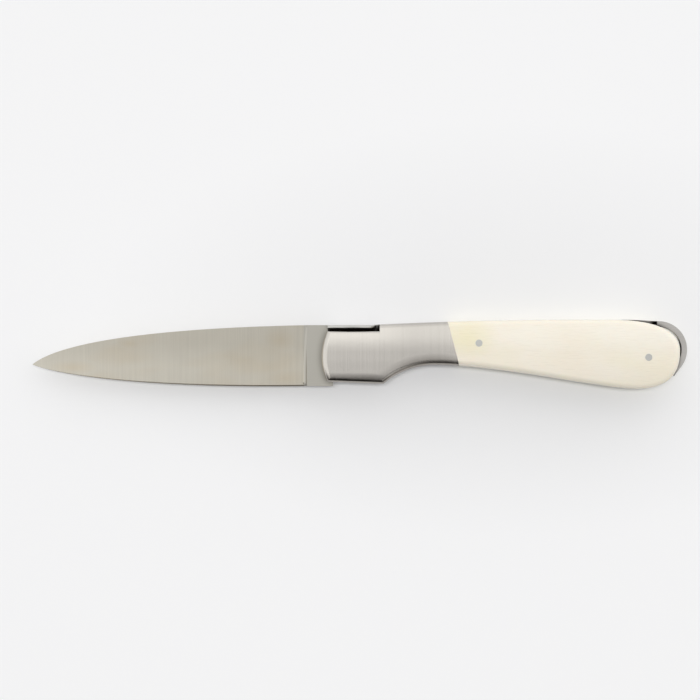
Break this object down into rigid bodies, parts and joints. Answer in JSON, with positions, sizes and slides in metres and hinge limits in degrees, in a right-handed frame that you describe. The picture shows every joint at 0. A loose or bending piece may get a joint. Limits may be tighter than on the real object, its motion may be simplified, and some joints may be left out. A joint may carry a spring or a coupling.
{
  "type": "folding pocket knife",
  "caption": "Folding pocket knife with a flat ground pointed blade, steel bolsters, bone scales and a pierced back spring that ends in an oval head plate and a crescent round the butt.",
  "frame": {"origin": "bottom centre of the box of the open knife, which lies on its right side", "axes": "+X from the blade's point to the butt, +Y from the edge to the back spring, +Z from the right side to the left side"},
  "size_m": [0.2178, 0.0228, 0.015],
  "materials": {
    "ground_blade_steel": "satin, ground across the blade",
    "brushed_bolster_steel": "fine brushed",
    "liner_steel": "satin",
    "spring_steel": "satin, pierced by hand",
    "plate_steel": "polished, engraved",
    "pin_steel": "ground flush",
    "washer_bronze": "plain",
    "polished_bone": "polished bone"
  },
  "bodies": {
    "handle": {"pivot_pin": "brushed_bolster_steel", "left_washer": "washer_bronze", "right_washer": "washer_bronze", "left_liner": "liner_steel", "right_liner": "liner_steel", "left_bolster": "brushed_bolster_steel", "right_bolster": "brushed_bolster_steel", "left_bolster_rivets": "pin_steel", "right_bolster_rivets": "pin_steel", "left_scale": "polished_bone", "right_scale": "polished_bone", "middle_pin": "pin_steel", "rear_pin": "pin_steel", "back_spring": "spring_steel", "head_plate": "plate_steel"},
    "blade": {"blade": "ground_blade_steel"}
  },
  "joints": [
    {"name": "blade_pivot", "type": "hinge", "parent": "handle", "child": "blade", "pos_m": [-0.00432, -0.00345, 0.00748], "axis": [0, 0, 1], "range_deg": [0, 177.2], "deforming": ["back_spring"]}
  ]
}
